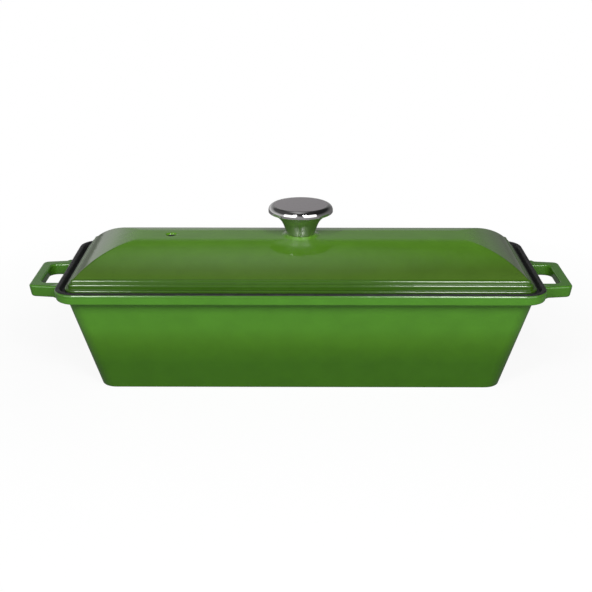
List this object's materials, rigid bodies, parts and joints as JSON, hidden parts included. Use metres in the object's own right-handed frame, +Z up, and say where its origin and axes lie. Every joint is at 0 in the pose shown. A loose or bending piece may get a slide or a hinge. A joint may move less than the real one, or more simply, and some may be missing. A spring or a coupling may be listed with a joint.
{
  "type": "lidded bread pan",
  "caption": "Long lidded loaf pan of enamelled cast iron, with sloping walls, a loop handle at each end, a stepped arched lid with a steam vent, and a round metal knob.",
  "frame": {"origin": "middle of the flat base, on the surface the pan stands on", "axes": "+X along the pan from handle to handle, with the steam vent on the -X side; +Y across it, away from the side that the picture shows; +Z up"},
  "size_m": [0.3972, 0.1322, 0.1294],
  "materials": {
    "pan_enamel": "gloss green enamel outside, matt black enamel on the rim and inside",
    "lid_enamel": "gloss green enamel outside, matt black enamel inside",
    "knob_steel": "brushed flat top, polished rim and stem",
    "screw_steel": "plain machined"
  },
  "bodies": {
    "root": {"pan": "pan_enamel", "lid": "lid_enamel", "knob": "knob_steel", "knob_screw": "screw_steel"}
  },
  "joints": []
}
